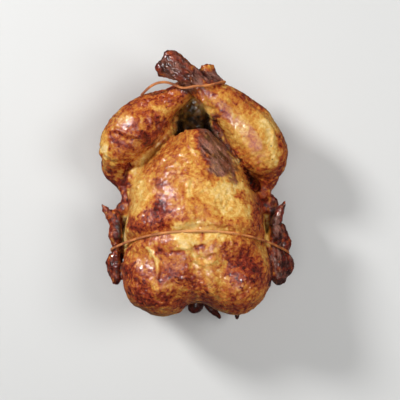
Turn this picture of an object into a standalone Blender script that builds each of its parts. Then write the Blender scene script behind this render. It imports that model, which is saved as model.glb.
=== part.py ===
"""Roast chicken, trussed with two strings and lying on its back, breast up.

Metres, +Z up. The tail end with the crossed legs points to +Y and the neck end to -Y.
The origin is on the resting plane, at the middle of the bird's length and width.
Places and radii below are in millimetres, and MM turns them into metres.
"""

import math

import bmesh
import bpy
import numpy as np
from mathutils import Vector, geometry, noise
from mathutils.bvhtree import BVHTree
from mathutils.kdtree import KDTree

MM = 0.001

# Driving sizes
BREAST_HEIGHT = 101.0
STRING_RADIUS = 1.15
STRING_GAP = 0.3
STRING_SINK = 1.2
SKIN_PRESS = 3.0
PRESS_WIDTH = 4.5
KEEL_VALLEY_WIDTH = 7.0
KEEL_VALLEY_DEPTH = 2.2

# Sizes and heights of the swells that make the skin uneven
SWELLS = ((26, 1.6), (9, 0.7))

PATH_STEPS = 10

# A groove throws up a low swell beside it: its share of the depth, and its place in groove widths
BANK_HEIGHT = 0.35
BANK_PLACE = 1.9

# Where the string round the body runs: its y over the breast, and how far it falls back at the sides and below
BODY_STRING_Y = -41.0
BODY_MIDDLE = (2, 48)
SIDE_REACH = 70
SIDE_FALL = 15.5
SIDE_FALL_POWER = 2.4
MOST_FALL_REACH = 1.2
UNDER_FALL = 8.0
UNDER_START = 45
BODY_STRING_POINTS = 72
RAY_STEP = 3
SETTLING_ROUNDS = 3
FAR_OUT = 120

# Powers that shape the trunk's cross-section: 1 is round and less is boxier
UPPER_WIDTH_POWER = 1.0
LOWER_POWER = 0.8
RING_POINTS = 56

# Limbs: the steps from one row to the next, the least radius and where the round ends have rings, in degrees
LIMB_STEPS = 5
LEAST_RADIUS = 0.8
END_RINGS = (30, 55, 75)

# Fineness of the skins, from the trunk to the finished bird
TRUNK_VOXEL = 2.0
TRUNK_SMOOTHING = 14
BIRD_VOXEL = 1.4
BIRD_SMOOTHING = 5
CHICKEN_TRIANGLES = 9600
SHARP_ANGLE = 50

SKIN_COLOUR = (0.62, 0.27, 0.06, 1.0)
STRING_COLOUR = (0.45, 0.17, 0.05, 1.0)


def clear_scene():
    for obj in list(bpy.data.objects):
        bpy.data.objects.remove(obj)


def material(name, colour, roughness):
    made = bpy.data.materials.new(name)
    made.use_nodes = True
    shader = made.node_tree.nodes["Principled BSDF"]
    shader.inputs["Base Color"].default_value = colour
    shader.inputs["Roughness"].default_value = roughness
    shader.inputs["Metallic"].default_value = 0.0
    return made


def mesh_object(name, bm):
    mesh = bpy.data.meshes.new(name)
    bm.to_mesh(mesh)
    bm.free()
    obj = bpy.data.objects.new(name, mesh)
    bpy.context.scene.collection.objects.link(obj)
    return obj


def apply_modifiers(obj):
    """Swaps the object's mesh for its evaluated one, and drops the modifiers."""
    bpy.context.view_layer.update()
    graph = bpy.context.evaluated_depsgraph_get()
    mesh = bpy.data.meshes.new_from_object(obj.evaluated_get(graph))
    obj.modifiers.clear()
    obj.data = mesh


def smooth_path(stations, steps, closed=False):
    """Rows read from a Catmull-Rom curve through the stations, steps rows to each span."""
    rows = np.array(stations, float)
    count = len(rows)
    spans = count if closed else count - 1
    found = []
    for i in range(spans):
        picks = [(i + k) % count if closed else min(max(i + k, 0), count - 1) for k in (-1, 0, 1, 2)]
        a, b, c, d = rows[picks]
        for t in np.arange(steps) / steps:
            found.append(
                0.5 * (2 * b + (c - a) * t + (2 * a - 5 * b + 4 * c - d) * t**2 + (3 * b - a - 3 * c + d) * t**3)
            )
    if not closed:
        found.append(rows[-1])
    return np.array(found)


def tube(name, points, radii, closed=False, sides=3):
    """A round tube along the points, as a curve with a bevel and a radius at each point."""
    curve = bpy.data.curves.new(name, "CURVE")
    curve.dimensions = "3D"
    curve.bevel_depth = MM
    curve.bevel_resolution = sides
    curve.use_fill_caps = True
    spline = curve.splines.new("POLY")
    spline.points.add(len(points) - 1)
    spline.use_cyclic_u = closed
    for knot, place, radius in zip(spline.points, points, radii):
        knot.co = (*(Vector(place) * MM), 1.0)
        knot.radius = radius
    obj = bpy.data.objects.new(name, curve)
    bpy.context.scene.collection.objects.link(obj)
    return obj


def limb(stations, tall=1.0):
    """A fleshy tube through rows of x, y, z and radius, closed by round ends. tall stretches it upwards."""
    rows = smooth_path(stations, LIMB_STEPS)
    rows[:, 3] = np.maximum(rows[:, 3], LEAST_RADIUS)
    ends = []
    for tip, inner in ((rows[0], rows[1]), (rows[-1], rows[-2])):
        outward = tip[:3] - inner[:3]
        outward /= np.linalg.norm(outward)
        ends.append(
            [
                np.append(tip[:3] + outward * tip[3] * math.sin(turn), tip[3] * math.cos(turn))
                for turn in np.radians(END_RINGS)
            ]
        )
    rows = np.vstack([ends[0][::-1], rows, ends[1]])
    middle = rows[:, 2].mean()
    rows[:, 2] = middle + (rows[:, 2] - middle) / tall
    made = tube("limb", rows[:, :3], rows[:, 3])
    made.scale.z = tall
    made.location.z = middle * MM * (1 - tall)
    return made


def ball(centre, radii, turn=(0.0, 0.0, 0.0)):
    """A stretched sphere. turn holds its rotation about X, Y and Z in degrees."""
    bm = bmesh.new()
    bmesh.ops.create_icosphere(bm, subdivisions=4, radius=1.0)
    made = mesh_object("ball", bm)
    made.scale = Vector(radii) * MM
    made.rotation_euler = [math.radians(a) for a in turn]
    made.location = Vector(centre) * MM
    return made


def trunk_ring(y, left, right, top, side, bottom, peak):
    """One cross-section of the trunk: its edges, its heights, and peak, 2 for round and less for a ridge."""
    ring = []
    middle, half = (left + right) / 2, (right - left) / 2
    for angle in np.linspace(0, 2 * math.pi, RING_POINTS, endpoint=False):
        across, up = math.cos(angle), math.sin(angle)
        if up > 0:
            height, wide_power, tall_power = top - side, UPPER_WIDTH_POWER, 2 / peak
        else:
            height, wide_power, tall_power = side - bottom, LOWER_POWER, LOWER_POWER
        x = middle + half * math.copysign(abs(across) ** wide_power, across)
        z = side + height * math.copysign(abs(up) ** tall_power, up)
        ring.append(Vector((x, y, z)) * MM)
    return ring


def lofted(stations):
    """A closed body through cross-sections, each one row of trunk_ring's values."""
    bm = bmesh.new()
    rings = [[bm.verts.new(p) for p in trunk_ring(*row)] for row in smooth_path(stations, 6)]
    for near, far in zip(rings, rings[1:]):
        for i in range(len(near)):
            j = (i + 1) % len(near)
            bm.faces.new((near[i], near[j], far[j], far[i]))
    bm.faces.new(rings[0])
    bm.faces.new(rings[-1][::-1])
    bmesh.ops.recalc_face_normals(bm, faces=bm.faces)
    return mesh_object("loft", bm)


def fuse(name, pieces, voxel, smoothing):
    """Grows one skin over overlapping pieces, then relaxes it so that they flow into each other."""
    graph = bpy.context.evaluated_depsgraph_get()
    bm = bmesh.new()
    for piece in pieces:
        bpy.context.view_layer.update()
        part = bpy.data.meshes.new_from_object(piece.evaluated_get(graph))
        part.transform(piece.matrix_world)
        bm.from_mesh(part)
        bpy.data.objects.remove(piece)
    skin = mesh_object(name, bm)
    remesh = skin.modifiers.new("skin", "REMESH")
    remesh.mode = "VOXEL"
    remesh.voxel_size = voxel * MM
    relax = skin.modifiers.new("relax", "SMOOTH")
    relax.factor = 0.5
    relax.iterations = smoothing
    apply_modifiers(skin)
    return skin


def boolean(obj, other, operation):
    step = obj.modifiers.new("cut", "BOOLEAN")
    step.operation = operation
    step.solver = "EXACT"
    step.object = other
    apply_modifiers(obj)
    bpy.data.objects.remove(other)


def breast():
    """The two breast muscles over the keel, a shield that narrows to a blunt tip at the tail end."""
    shield = lofted(
        [
            # y, left, right, top, side, bottom, peak
            (-100, -46, 47, 76, 48, 16, 2.2),
            (-91, -56, 57, 90, 49, 10, 2.2),
            (-73, -57.5, 60, 98, 50, 6, 2.15),
            (-48, -56, 57, BREAST_HEIGHT, 50, 4, 2.1),
            (-24, -55, 55.5, 99, 49, 4, 2.05),
            (-4, -51, 49, 94, 47, 4, 2.0),
            (12, -41, 38.5, 88, 45, 4, 1.9),
            (26, -30, 28, 81, 42, 4, 1.85),
            (37, -18, 19, 74, 38, 8, 1.9),
            (43, -8, 12, 67, 40, 18, 2.0),
        ]
    )
    left_lobe = ball((-29, -77.5, 56), (30.5, 33, 39), (14, 0, 8))
    right_lobe = ball((32.5, -76.5, 56), (30.5, 32, 39), (14, 0, -8))
    left_chest = ball((-26, -38, 62), (28, 44, 32), (0, -10, -6))
    right_chest = ball((27, -38, 62), (28, 46, 32), (0, 10, 7))
    return [shield, left_lobe, right_lobe, left_chest, right_chest]


def back():
    """The flat back that it lies on, the pelvis and the walls of the body cavity."""
    return lofted(
        [
            # y, left, right, top, side, bottom, peak
            (-101, -27, 29, 44, 24, 8, 2.0),
            (-86, -44, 45, 60, 28, 0, 2.2),
            (-55, -51, 52, 66, 30, -2.5, 2.3),
            (-10, -50, 49, 66, 30, -2.5, 2.3),
            (20, -45, 44, 62, 28, -2, 2.3),
            (44, -37, 36, 52, 26, 0, 2.2),
            (62, -27, 26, 42, 22, 4, 2.1),
            (73, -15, 14, 32, 19, 9, 2.0),
        ]
    )


def trunk():
    body = fuse("trunk", [*breast(), back()], TRUNK_VOXEL, TRUNK_SMOOTHING)
    cavity = ball((0, 30, 45), (20, 48, 19), (-6, 0, 0))
    mouth = ball((0, 66, 52), (17, 30, 24), (-10, 0, 0))
    neck_hollow = ball((2, -104, 33), (19, 15, 14))
    for cutter in (cavity, mouth, neck_hollow):
        boolean(body, cutter, "DIFFERENCE")
    return body


def right_leg():
    """The right-hand leg in the top view: its drumstick lies over the other one."""
    drumstick = limb(
        [
            (61, 3, 43, 8.5),
            (60.5, 11, 45, 15),
            (58, 19.5, 49, 19.3),
            (51, 31, 53, 21.7),
            (42, 43, 57, 21.2),
            (30.5, 55.5, 62, 18.2),
            (17, 66.5, 68, 13.5),
            (6, 73.5, 73, 10),
            (-4, 81.5, 77, 10),
            (-12.5, 88, 79, 11),
            (-17, 91.5, 79.5, 10.6),
        ]
    )
    thigh = limb(
        [
            (26, 44, 30, 18),
            (44, 32, 29, 18.5),
            (55, 17, 29, 17),
            (58.5, 4, 30, 12.5),
            (57, -4.5, 31, 8),
            (55.5, -10.5, 32, 4.5),
        ],
        tall=1.45,
    )
    knuckle = ball((-26, 88, 78), (5.5, 7, 8), (0, 0, 20))
    knuckle_top = ball((-18.5, 97.5, 79), (7, 5.5, 7.5), (0, 0, 10))
    return [drumstick, thigh, knuckle, knuckle_top]


def left_leg():
    """The left-hand leg in the top view: its shank passes under the other one."""
    drumstick = limb(
        [
            (-69, 15, 44, 9),
            (-66, 21, 47, 14.5),
            (-58.5, 31.5, 51, 19),
            (-46.5, 44, 54, 20.8),
            (-33, 55.5, 56, 16.6),
            (-19, 64, 58, 11.4),
            (-9, 71, 58.5, 9.6),
            (2.5, 78, 59, 8.6),
            (9, 83, 60, 7.5),
        ]
    )
    thigh = limb(
        [
            (-28, 42, 30, 18),
            (-46, 31, 29, 18.5),
            (-59.5, 20, 28, 16.5),
            (-63, 9, 28, 13.5),
            (-60.5, 0, 29, 8.5),
            (-57, -6.5, 30, 5.5),
            (-56, -12, 31, 4),
        ],
        tall=1.45,
    )
    knuckle = ball((10.5, 89, 61), (6.5, 5.5, 6))
    spur = limb([(14, 83, 59, 6), (18.5, 80.5, 58.5, 4.6), (21.5, 81, 58, 2.6), (24.5, 81.8, 58, 1.8)])
    flap = limb([(-42, 62, 50, 5), (-34, 68.5, 51, 4), (-26, 71.5, 52, 3), (-19, 71.5, 54, 3)])
    return [drumstick, thigh, knuckle, spur, flap]


def left_wing():
    upper_arm = limb([(-43, -80, 32, 12), (-49, -55, 31, 10), (-52, -34, 33, 8.5), (-54, -22, 35, 7)], tall=1.3)
    forearm = limb([(-58.5, -22, 37, 5), (-63.5, -31, 35, 4.5), (-65, -55, 34, 4.5), (-65, -80, 36, 5.2)], tall=2.0)
    hand = limb(
        [
            (-65, -83, 44, 4.4),
            (-65, -72, 47, 4.8),
            (-64.8, -60, 49, 4.2),
            (-64.6, -46, 50, 4.0),
            (-64.6, -36, 51, 4.2),
            (-64.4, -28, 52, 3.6),
        ],
        tall=1.3,
    )
    tip = limb([(-65.5, -40, 51, 3.2), (-68, -32, 53, 3.0), (-72.5, -25, 55, 2.6), (-76, -19.5, 56, 1.7)])
    blade = limb([(-68, -59, 42, 2.6), (-70, -70, 40, 3.6), (-69, -79, 38, 3.2)], tall=2.0)
    return [upper_arm, forearm, hand, tip, blade]


def right_wing():
    upper_arm = limb([(46, -80, 32, 12), (51, -55, 31, 10), (55, -34, 33, 8.5), (57, -22, 35, 8)], tall=1.3)
    elbow = ball((60, -20.5, 38), (7.5, 8.5, 12), (0, 0, -25))
    forearm = limb([(63, -25, 38, 6), (66, -38, 34, 4.5), (69, -56, 34, 5), (69, -80, 36, 6)], tall=2.0)
    hand = limb(
        [
            (69.5, -81, 43, 5.2),
            (68, -72, 46, 5.8),
            (66.5, -60, 49, 5.2),
            (65.3, -48, 52, 4.8),
            (66, -36, 55, 4.4),
            (69.5, -25.5, 58, 3.2),
            (73.5, -17, 60, 1.7),
        ],
        tall=1.3,
    )
    blade = limb([(71, -36, 43, 2.2), (73.5, -46, 43, 3.2), (75.5, -61, 42, 4.2), (75.5, -74, 40, 4.8)], tall=1.7)
    return [upper_arm, elbow, forearm, hand, blade]


def tail_and_trimmings():
    """The tail, the neck stub and the charred shreds that hang at the neck end."""
    tail = ball((0, 78, 17), (12, 13, 9.5), (12, 0, 0))
    neck = limb([(2, -84, 34, 9), (1, -96, 33, 9), (0, -102.5, 33, 7.5)])
    shreds = [
        limb([(6, -94, 25, 5), (12, -105, 23, 3.2), (18, -111, 21, 2.6), (21, -115, 20, 1.7)]),
        limb([(34, -94, 26, 4), (35, -107, 23, 3), (35, -115, 21, 2)]),
    ]
    return [tail, neck, *shreds]


def skin_webs():
    """Folds of loose skin that join the legs and the wings to the trunk."""
    left_groin = limb([(-16, 46, 42, 5), (-27, 35, 43, 6), (-41, 20, 44, 6), (-49, 4, 46, 6), (-51, -10, 44, 6)])
    right_groin = limb([(16, 46, 46, 5), (27, 34, 42, 6), (40, 18, 32, 6), (50, 0, 22, 5), (56, -12, 26, 6)])
    right_fold = limb([(46, 21, 44, 6), (50, 11, 43, 6), (55, 3, 42, 5.5), (57, -5, 40, 5.5), (55.5, -13, 37, 6)])
    left_fold = limb([(-48, 18, 34, 7), (-53, 5, 33, 7), (-54, -6, 33, 6)])
    left_flank = limb([(-56, -8, 34, 5), (-55, -16, 36, 6), (-52, -26, 38, 7)])
    right_flank = limb([(57, -8, 34, 5), (56, -14, 36, 6), (53, -26, 38, 7)])
    return [left_groin, left_fold, left_flank, right_groin, right_fold, right_flank]


def coordinates(obj):
    found = np.empty(len(obj.data.vertices) * 3, np.float32)
    obj.data.vertices.foreach_get("co", found)
    return found.reshape(-1, 3).astype(float)


def normals(obj):
    found = np.empty(len(obj.data.vertices) * 3, np.float32)
    obj.data.vertices.foreach_get("normal", found)
    return found.reshape(-1, 3).astype(float)


def move_skin(obj, outward):
    """Moves each vertex along its normal by its own number of millimetres."""
    moved = coordinates(obj) + normals(obj) * outward[:, None] * MM
    obj.data.vertices.foreach_set("co", moved.astype(np.float32).ravel())
    obj.data.update()


def densified(path, closed):
    """The path with PATH_STEPS places in each span, so that the distance to it has no scallops."""
    ends = np.roll(path, -1, axis=0) if closed else np.vstack([path[1:], path[-1:]])
    return np.vstack([path + (ends - path) * step for step in np.arange(PATH_STEPS) / PATH_STEPS])


def distance_to(obj, path):
    """Each vertex's distance in millimetres to a path of points in millimetres."""
    tree = KDTree(len(path))
    for i, place in enumerate(path):
        tree.insert(place, i)
    tree.balance()
    return np.array([tree.find(p)[2] for p in coordinates(obj) / MM])


def groove(obj, path, width, depth):
    """Presses a soft groove into the skin along a path, with a low swell on both sides."""
    away = distance_to(obj, path) / width
    move_skin(obj, depth * (BANK_HEIGHT * np.exp(-((away - BANK_PLACE) ** 2)) - np.exp(-(away**2))))


def loosen(obj, size, height):
    """Makes the skin uneven by noise with swells of a given size and height."""
    lift = [noise.noise(p / (MM * size)) for p in map(Vector, coordinates(obj))]
    move_skin(obj, np.array(lift) * height)


def body_string_y(x, z):
    """How the string round the body wanders along the bird: it rides up over the breast."""
    side = min(abs(x - BODY_MIDDLE[0]) / SIDE_REACH, MOST_FALL_REACH)
    under = max(0.0, 1 - z / UNDER_START)
    return BODY_STRING_Y - SIDE_FALL * side**SIDE_FALL_POWER - UNDER_FALL * under


def body_string_path(tree):
    """The taut loop round the breast, both wings and the back: the hull of the skin at the string."""
    hits = []
    middle = Vector((BODY_MIDDLE[0], 0, BODY_MIDDLE[1]))
    for angle in np.radians(np.arange(0, 360, RAY_STEP)):
        outward = Vector((math.cos(angle), 0, math.sin(angle)))
        found = middle + outward * FAR_OUT
        for _ in range(SETTLING_ROUNDS):
            start = middle + outward * FAR_OUT
            start.y = body_string_y(found.x, found.z)
            found = tree.ray_cast(start * MM, -outward)[0] / MM
        hits.append((found.x, found.z))
    hull = [hits[i] for i in geometry.convex_hull_2d(hits)]
    return loop_of(hull)


def loop_of(hull):
    """Evenly spaced points round the hull, drawn in so that the string lies in the pressed skin."""
    corners = np.array(hull + hull[:1])
    lengths = np.append(0, np.cumsum(np.linalg.norm(np.diff(corners, axis=0), axis=1)))
    spots = np.linspace(0, lengths[-1], BODY_STRING_POINTS, endpoint=False)
    ring = np.stack([np.interp(spots, lengths, corners[:, k]) for k in (0, 1)], axis=1)
    ring = (np.roll(ring, 1, axis=0) + 2 * ring + np.roll(ring, -1, axis=0)) / 4
    along = np.roll(ring, -1, axis=0) - np.roll(ring, 1, axis=0)
    inward = np.stack([-along[:, 1], along[:, 0]], axis=1)
    inward /= np.linalg.norm(inward, axis=1)[:, None]
    inward *= np.sign(((ring.mean(axis=0) - ring) * inward).sum())
    ring += inward * STRING_SINK
    ring[:, 1] = np.maximum(ring[:, 1], STRING_RADIUS + STRING_GAP / 2)
    return np.array([(x, body_string_y(x, z), z) for x, z in ring])


def keel_valley_path():
    """The seam between the breast's lobes. It starts over the skin, so that the groove fades in."""
    return smooth_path(
        [(3, -30, 107), (2.5, -44, 103), (2, -58, 100.5), (1.5, -74, 97), (1, -90, 88), (1, -103, 62)], 6
    )


def leg_string_path():
    """The loop that ties the two shanks where they cross, slack at the left."""
    return smooth_path(
        [
            (18.5, 77, 78.5),
            (10, 74.5, 84),
            (0, 74.3, 86),
            (-8.5, 72.8, 80),
            (-16, 76, 74),
            (-23, 78.3, 71.5),
            (-31, 77.7, 69.5),
            (-37.5, 74, 67),
            (-42, 69.8, 62),
            (-43.3, 68.3, 55),
            (-40, 67.5, 46),
            (-31, 67, 41.5),
            (-20, 69, 42.5),
            (-7, 72.5, 46),
            (7, 74, 50),
            (19, 76, 57),
            (24.5, 79, 68),
        ],
        4,
        closed=True,
    )


def flatten_base(obj):
    """Levels the back, where the bird's weight has pressed it flat."""
    places = coordinates(obj)
    places[:, 2] = np.maximum(places[:, 2], 0)
    obj.data.vertices.foreach_set("co", places.astype(np.float32).ravel())
    obj.data.update()


def thin_out(obj, triangles):
    thin = obj.modifiers.new("thin", "DECIMATE")
    thin.ratio = triangles / (2 * len(obj.data.polygons))
    apply_modifiers(obj)


def drop_scraps(obj):
    """Removes loose crumbs of mesh, so that one closed body is left."""
    bm = bmesh.new()
    bm.from_mesh(obj.data)
    unseen = set(bm.verts)
    bodies = []
    while unseen:
        frontier = [unseen.pop()]
        body = list(frontier)
        while frontier:
            vertex = frontier.pop()
            near = {e.other_vert(vertex) for e in vertex.link_edges} & unseen
            unseen -= near
            frontier.extend(near)
            body.extend(near)
        bodies.append(body)
    for body in sorted(bodies, key=len)[:-1]:
        bmesh.ops.delete(bm, geom=body, context="VERTS")
    bm.to_mesh(obj.data)
    bm.free()


def as_mesh(curve_object):
    """The same shape as a mesh object, which a Boolean can take."""
    bpy.context.view_layer.update()
    graph = bpy.context.evaluated_depsgraph_get()
    mesh = bpy.data.meshes.new_from_object(curve_object.evaluated_get(graph))
    made = bpy.data.objects.new(curve_object.name, mesh)
    bpy.context.scene.collection.objects.link(made)
    bpy.data.objects.remove(curve_object)
    return made


def stand_on_origin(objects):
    """Moves the finished pieces so that the middle of their box is over the origin and their foot on it."""
    corners = np.array([obj.matrix_world @ Vector(c) for obj in objects for c in obj.bound_box])
    low, high = corners.min(axis=0), corners.max(axis=0)
    for obj in objects:
        obj.location -= Vector(((low[0] + high[0]) / 2, (low[1] + high[1]) / 2, low[2]))


def tie(bird, name, loop, finish):
    """A string along the loop, in a channel cut for it, so that it never runs through the meat."""
    channel = tube("channel", loop, [STRING_RADIUS + STRING_GAP] * len(loop), closed=True, sides=2)
    boolean(bird, as_mesh(channel), "DIFFERENCE")
    string = tube(name, loop, [STRING_RADIUS] * len(loop), closed=True, sides=2)
    string.data.materials.append(finish)
    return string


def build():
    clear_scene()
    pieces = [trunk(), *left_leg(), *right_leg(), *left_wing(), *right_wing()]
    pieces += [*tail_and_trimmings(), *skin_webs()]
    bird = fuse("roast_chicken", pieces, BIRD_VOXEL, BIRD_SMOOTHING)
    for size, height in SWELLS:
        loosen(bird, size, height)

    bpy.context.view_layer.update()
    skin_tree = BVHTree.FromObject(bird, bpy.context.evaluated_depsgraph_get())
    body_loop = body_string_path(skin_tree)
    leg_loop = leg_string_path()
    groove(bird, densified(body_loop, True), PRESS_WIDTH, SKIN_PRESS)
    groove(bird, densified(keel_valley_path(), False), KEEL_VALLEY_WIDTH, KEEL_VALLEY_DEPTH)
    flatten_base(bird)
    thin_out(bird, CHICKEN_TRIANGLES)

    twine = material("trussing_string", STRING_COLOUR, 0.6)
    body_string = tie(bird, "body_string", body_loop, twine)
    leg_string = tie(bird, "leg_string", leg_loop, twine)
    drop_scraps(bird)
    bird.data.materials.clear()
    bird.data.materials.append(material("roast_skin", SKIN_COLOUR, 0.35))
    bird.data.shade_smooth()
    bird.data.set_sharp_from_angle(angle=math.radians(SHARP_ANGLE))
    bpy.context.view_layer.update()
    stand_on_origin([bird, body_string, leg_string])


build()
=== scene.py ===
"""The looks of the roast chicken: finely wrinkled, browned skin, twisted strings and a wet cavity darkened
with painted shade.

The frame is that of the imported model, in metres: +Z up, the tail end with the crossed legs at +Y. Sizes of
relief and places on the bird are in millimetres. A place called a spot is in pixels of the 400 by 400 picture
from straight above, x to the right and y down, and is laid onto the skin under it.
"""

import math

import bmesh
import bpy
import numpy as np
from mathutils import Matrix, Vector, noise
from mathutils.kdtree import KDTree


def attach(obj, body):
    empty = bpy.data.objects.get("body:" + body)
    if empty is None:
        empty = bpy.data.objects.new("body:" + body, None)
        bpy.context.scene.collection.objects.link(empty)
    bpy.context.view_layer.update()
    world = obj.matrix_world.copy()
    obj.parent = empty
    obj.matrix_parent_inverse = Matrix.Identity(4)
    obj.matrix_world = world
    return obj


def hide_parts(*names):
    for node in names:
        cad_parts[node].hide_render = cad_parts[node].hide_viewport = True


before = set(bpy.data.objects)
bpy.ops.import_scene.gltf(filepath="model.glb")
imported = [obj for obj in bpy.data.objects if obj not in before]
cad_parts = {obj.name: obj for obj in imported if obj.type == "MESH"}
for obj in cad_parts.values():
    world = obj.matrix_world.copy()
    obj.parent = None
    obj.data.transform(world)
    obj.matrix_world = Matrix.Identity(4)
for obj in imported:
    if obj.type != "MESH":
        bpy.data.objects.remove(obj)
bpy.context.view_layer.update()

MM = 0.001

# The camera looks straight down, as in the picture, which is PICTURE pixels wide. Its place is in metres, and
# at the height MIDDLE_Z one pixel covers PIXEL. The width of its sensor is in millimetres.
PICTURE = 400
PIXEL = 0.00082
CAMERA_PLACE = (0.00299, -0.00965, 1.4)
MIDDLE_Z = 0.045
SENSOR = 36.0

# Browning, painted as strokes: (tone, radius, spots). A tone of 0 is golden, 0.5 orange-brown, 0.8 deep
# red-brown and 1.2 nearly black, and below 0 it is the pale yellow of fat. Later strokes cover earlier ones.
# Some of these strokes are painted highlights and painted shade rather than browning; each of them is marked.
BREAST = [
    (0.36, 15, [(160, 163), (180, 141)]),
    (0.52, 8, [(160, 151), (174, 144)]),
    (0.34, 7, [(180, 137), (191, 132), (197, 147)]),
    (0.24, 8, [(187, 160), (198, 166)]),
    (0.86, 4.5, [(198, 133), (201, 149), (209, 163)]),
    (0.38, 8, [(150, 170), (166, 174)]),
    (0.46, 9, [(155, 192), (165, 200)]),
    (0.70, 3.5, [(157, 184), (168, 182)]),
    (0.00, 9, [(137, 187), (146, 198), (141, 208)]),
    (0.40, 5, [(125, 205), (125, 222)]),
    (0.62, 9, [(168, 204), (172, 214)]),
    (0.95, 8, [(150, 214), (163, 207)]),
    (0.74, 6, [(140, 219), (164, 221)]),
    (0.70, 6, [(126, 225), (150, 228), (173, 227)]),
    (0.50, 4, [(174, 224), (182, 219)]),
    (0.36, 9, [(178, 178), (182, 200)]),
    (0.48, 3, [(187, 172)]),
    (0.54, 3.5, [(184, 207), (184, 221)]),
    (0.48, 2.8, [(194, 197), (196, 206)]),
    (0.52, 2.4, [(205, 207)]),
    (-0.10, 3, [(189, 183), (188, 196)]),
    (0.04, 8, [(205, 191), (214, 186)]),
    (-0.14, 9, [(216, 184), (222, 196), (240, 190)]),
    (0.00, 10, [(222, 211), (245, 210)]),
    (0.50, 4.5, [(241, 196), (243, 201)]),
    (0.40, 2.5, [(235, 196)]),
    (0.40, 6, [(206, 174), (213, 180)]),
    (0.38, 7, [(227, 171), (242, 172)]),
    (0.44, 4, [(241, 163), (252, 186)]),
    (-0.25, 3, [(232, 157), (237, 163)]),
    (0.72, 8, [(262, 198), (262, 232)]),
    (0.66, 6, [(256, 215), (254, 232)]),
    (0.40, 7, [(240, 225), (250, 230)]),
    (0.42, 5, [(224, 224), (238, 229)]),
    (0.30, 6, [(203, 213), (216, 219)]),
    (-0.10, 4, [(178, 226), (198, 226)]),
]

LOBES = [
    (0.54, 22, [(150, 262), (175, 285)]),
    (0.58, 24, [(235, 262), (240, 285)]),
    (-0.22, 8, [(178, 238), (190, 243)]),
    (-0.12, 6, [(204, 235), (224, 236)]),
    (0.02, 4, [(193, 238), (193, 266)]),
    (0.28, 3, [(194, 266), (194, 284)]),
    (0.52, 2.6, [(200, 233), (203, 238)]),
    (0.74, 2.2, [(198, 247), (204, 246)]),
    (0.52, 2.4, [(215, 240), (210, 249)]),
    (0.50, 8, [(140, 241), (165, 242)]),
    (0.36, 5, [(134, 243), (140, 250)]),
    (0.60, 5, [(128, 248), (126, 288)]),
    (0.40, 9, [(140, 256), (148, 264)]),
    (0.80, 2.4, [(159, 252), (162, 252)]),
    (0.40, 8, [(168, 262), (186, 260)]),
    (0.75, 2.2, [(170, 254), (183, 252)]),
    (-0.18, 2.8, [(150, 250), (156, 259), (158, 274)]),
    (0.74, 9, [(165, 276), (184, 277)]),
    (0.80, 10, [(131, 273), (142, 287)]),
    (0.82, 8, [(136, 297), (157, 303)]),
    (0.22, 3, [(153, 280), (157, 297)]),
    (0.38, 7, [(168, 287), (184, 290)]),
    (0.76, 6, [(162, 300), (182, 303)]),
    (0.42, 3, [(126, 292), (133, 303), (145, 311)]),
    (0.66, 5, [(190, 283), (193, 299)]),
    (0.54, 9, [(228, 252), (256, 251)]),
    (0.88, 12, [(247, 261), (254, 280)]),
    (0.74, 8, [(229, 266), (238, 281)]),
    (0.38, 5, [(215, 256), (222, 262)]),
    (0.08, 4, [(197, 263), (205, 265), (213, 261)]),
    (0.32, 5, [(203, 273), (208, 281)]),
    (0.14, 6, [(210, 274), (222, 280)]),
    (0.30, 7, [(212, 288), (220, 296)]),
    (0.42, 7, [(240, 294), (262, 290), (255, 304)]),
    (0.60, 4, [(266, 246), (269, 262), (269, 282)]),
    (1.15, 2.2, [(268, 250), (272, 268), (272, 286)]),
    (0.10, 2.6, [(261, 247), (265, 260)]),
    (0.64, 5, [(203, 299), (222, 304), (245, 308)]),
    (0.62, 4, [(200, 284), (204, 292)]),
]

LEFT_LEG = [
    (0.54, 24, [(120, 130), (150, 105)]),
    (0.64, 9, [(150, 95), (180, 93)]),
    (0.60, 7, [(142, 103), (158, 100), (176, 103)]),
    (0.58, 10, [(117, 128), (145, 124)]),
    (0.50, 10, [(112, 122), (128, 112)]),
    # Painted highlight: a paler tone where the key light's broad sheen lies on the thigh
    (0.26, 6, [(112, 126), (118, 119), (126, 116)]),
    (0.46, 4, [(108, 128), (110, 138)]),
    (0.66, 4, [(110, 133), (114, 142)]),
    (0.94, 7, [(142, 137), (150, 143)]),
    (0.92, 5.5, [(147, 142), (160, 131), (166, 123)]),
    (0.40, 4, [(127, 141), (136, 142)]),
    (0.46, 9, [(115, 152), (137, 152)]),
    (0.40, 4, [(125, 140), (136, 144)]),
    (0.74, 3, [(118, 146), (134, 149)]),
    # Painted shade: a dark line in the crease under the thigh's fold
    (0.72, 2.2, [(118, 131), (123, 136), (134, 138)]),
    (0.04, 4, [(104, 134), (102, 148)]),
    (-0.36, 4, [(104, 151), (106, 158)]),
    (0.24, 6, [(107, 165), (122, 166)]),
    (0.70, 3, [(109, 171), (112, 173)]),
    (0.64, 4, [(122, 167), (128, 164)]),
    (0.88, 5, [(106, 178), (115, 183), (124, 184)]),
    (0.85, 2.5, [(127, 166), (127, 182)]),
    (0.74, 3, [(100, 158), (101, 166)]),
    (0.80, 3.5, [(124, 182), (124, 190), (127, 200)]),
    (0.66, 5, [(154, 115), (159, 126)]),
    (0.70, 2.5, [(155, 112), (157, 121)]),
    (0.22, 2.5, [(142, 117), (145, 127)]),
    (0.05, 3.5, [(156, 106), (162, 110)]),
    (0.66, 3.2, [(161, 101), (178, 100)]),
    (0.20, 6, [(168, 112), (179, 108)]),
    (0.54, 2, [(169, 116), (180, 112)]),
    (0.58, 4, [(151, 90), (162, 88)]),
    (0.30, 4.5, [(136, 167), (150, 155), (163, 140), (175, 125)]),
    # Painted shade: a thin dark line in the crease between the leg and the breast
    (0.50, 1.4, [(152, 153), (157, 148), (168, 137)]),
    (0.12, 2.6, [(138, 166), (150, 156), (160, 144)]),
    (0.00, 3.6, [(132, 172), (137, 177), (141, 170)]),
    (0.28, 4, [(172, 130), (178, 122), (181, 110)]),
]

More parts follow.
